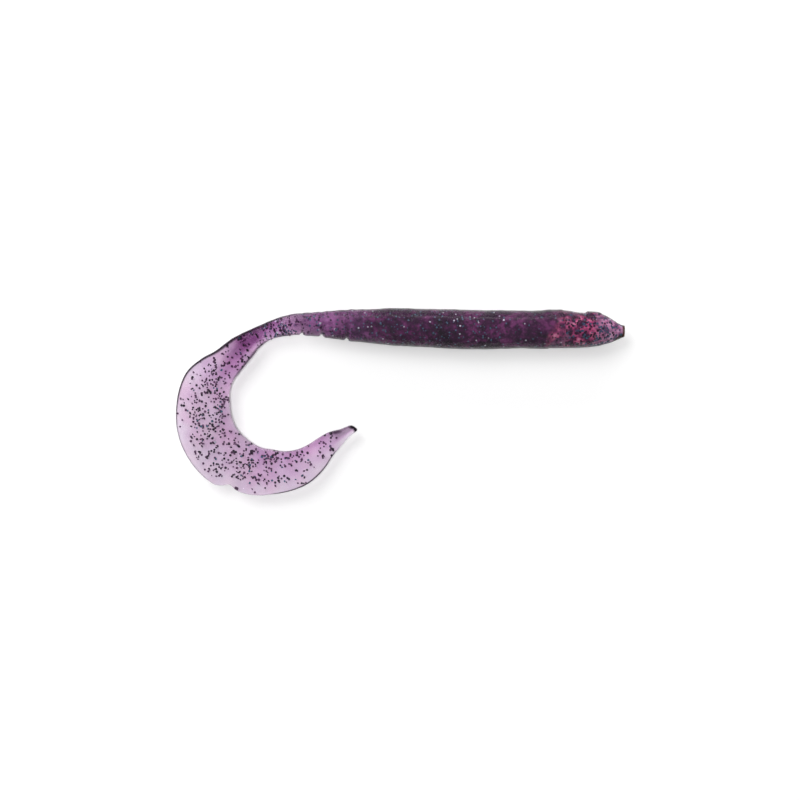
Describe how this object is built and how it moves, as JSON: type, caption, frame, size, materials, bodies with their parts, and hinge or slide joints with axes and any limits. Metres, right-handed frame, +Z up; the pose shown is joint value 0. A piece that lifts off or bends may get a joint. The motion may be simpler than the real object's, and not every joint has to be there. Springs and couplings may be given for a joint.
{
  "type": "soft plastic worm",
  "caption": "Soft plastic worm lure: a round ringed body with a blunt nose and collar, thinning to a flat curled ribbon tail that flexes along its length.",
  "frame": {"origin": "on the surface that the worm lies on, under the centre of its box", "axes": "+X towards the nose along the body, +Z up from the surface, tail curls towards -Y"},
  "size_m": [0.1288, 0.0532, 0.0109],
  "materials": {
    "head_plastic": "glossy tinted soft plastic, reddish purple, packed with dark and silver flakes",
    "body_plastic": "glossy tinted soft plastic, deep purple, with dark, teal and silver flakes",
    "tail_plastic": "translucent pale purple soft plastic with black flakes"
  },
  "bodies": {
    "head": {"head": "head_plastic"},
    "collar": {"collar": "body_plastic"},
    "body_front": {"body_front": "body_plastic"},
    "body_mid_front": {"body_mid_front": "body_plastic"},
    "body_mid_rear": {"body_mid_rear": "body_plastic"},
    "body_rear": {"body_rear": "body_plastic"},
    "ring_front": {"ring_front": "body_plastic"},
    "ring_rear": {"ring_rear": "body_plastic"},
    "tail_stem": {"tail_stem": "tail_plastic"},
    "tail_root": {"tail_root": "tail_plastic"},
    "ribbon_shoulder": {"ribbon_shoulder": "tail_plastic"},
    "ribbon_crown": {"ribbon_crown": "tail_plastic"},
    "ribbon_belly": {"ribbon_belly": "tail_plastic"},
    "ribbon_sweep": {"ribbon_sweep": "tail_plastic"},
    "ribbon_end": {"ribbon_end": "tail_plastic"},
    "tail_tip": {"tail_tip": "tail_plastic"}
  },
  "joints": [
    {"name": "head_bend", "type": "hinge", "parent": "collar", "child": "head", "pos_m": [0.04659, 0.02037, 0.00535], "axis": [0, 0, 1], "range_deg": [-18, 18], "stiffness_Nm_per_rad": 0.0141},
    {"name": "collar_lift", "type": "hinge", "parent": "body_front", "child": "collar", "pos_m": [0.04139, 0.02048, 0.00538], "axis": [-0.0209, -0.9998, 0], "range_deg": [0, 20], "stiffness_Nm_per_rad": 0.0166},
    {"name": "body_front_bend", "type": "hinge", "parent": "body_mid_front", "child": "body_front", "pos_m": [0.0274, 0.02077, 0.00544], "axis": [0, 0, 1], "range_deg": [-20, 20], "stiffness_Nm_per_rad": 0.0128},
    {"name": "body_mid_front_lift", "type": "hinge", "parent": "body_mid_rear", "child": "body_mid_front", "pos_m": [0.0134, 0.02107, 0.00543], "axis": [-0.0209, -0.9998, 0], "range_deg": [0, 20], "stiffness_Nm_per_rad": 0.0123},
    {"name": "body_rear_lift", "type": "hinge", "parent": "body_mid_rear", "child": "body_rear", "pos_m": [-0.0006, 0.02136, 0.00531], "axis": [0.0209, 0.9998, 0], "range_deg": [0, 20], "stiffness_Nm_per_rad": 0.00978},
    {"name": "ring_front_bend", "type": "hinge", "parent": "body_rear", "child": "ring_front", "pos_m": [-0.01509, 0.02166, 0.00521], "axis": [0, 0, 1], "range_deg": [-22, 22], "stiffness_Nm_per_rad": 0.00648},
    {"name": "ring_rear_lift", "type": "hinge", "parent": "ring_front", "child": "ring_rear", "pos_m": [-0.02229, 0.02182, 0.00517], "axis": [0.0209, 0.9998, 0], "range_deg": [0, 20], "stiffness_Nm_per_rad": 0.00514},
    {"name": "tail_stem_bend", "type": "hinge", "parent": "ring_rear", "child": "tail_stem", "pos_m": [-0.02799, 0.02193, 0.00515], "axis": [0, 0, 1], "range_deg": [-28, 14], "stiffness_Nm_per_rad": 0.00208},
    {"name": "tail_root_lift", "type": "hinge", "parent": "tail_stem", "child": "tail_root", "pos_m": [-0.03916, 0.01923, 0.0051], "axis": [-0.4605, 0.8876, 0], "range_deg": [0, 25], "stiffness_Nm_per_rad": 0.000299},
    {"name": "ribbon_shoulder_bend", "type": "hinge", "parent": "tail_root", "child": "ribbon_shoulder", "pos_m": [-0.04867, 0.01196, 0.00504], "axis": [0, 0, 1], "range_deg": [-30, 6], "stiffness_Nm_per_rad": 0.00176},
    {"name": "ribbon_crown_lift", "type": "hinge", "parent": "ribbon_shoulder", "child": "ribbon_crown", "pos_m": [-0.05598, 0.00155, 0.00495], "axis": [-0.9739, 0.2271, 0], "range_deg": [0, 25], "stiffness_Nm_per_rad": 0.0000686},
    {"name": "ribbon_belly_bend", "type": "hinge", "parent": "ribbon_crown", "child": "ribbon_belly", "pos_m": [-0.05394, -0.01097, 0.0049], "axis": [0, 0, 1], "range_deg": [-30, 6], "stiffness_Nm_per_rad": 0.00604},
    {"name": "ribbon_sweep_lift", "type": "hinge", "parent": "ribbon_belly", "child": "ribbon_sweep", "pos_m": [-0.04421, -0.0192, 0.00496], "axis": [-0.3508, -0.9364, 0], "range_deg": [0, 30], "stiffness_Nm_per_rad": 0.0000406},
    {"name": "ribbon_end_bend", "type": "hinge", "parent": "ribbon_sweep", "child": "ribbon_end", "pos_m": [-0.03146, -0.01942, 0.00502], "axis": [0, 0, 1], "range_deg": [-30, 6], "stiffness_Nm_per_rad": 0.00184},
    {"name": "tail_tip_lift", "type": "hinge", "parent": "ribbon_end", "child": "tail_tip", "pos_m": [-0.02031, -0.01292, 0.00508], "axis": [0.5771, -0.8167, 0], "range_deg": [0, 45], "stiffness_Nm_per_rad": 0.0000329}
  ]
}
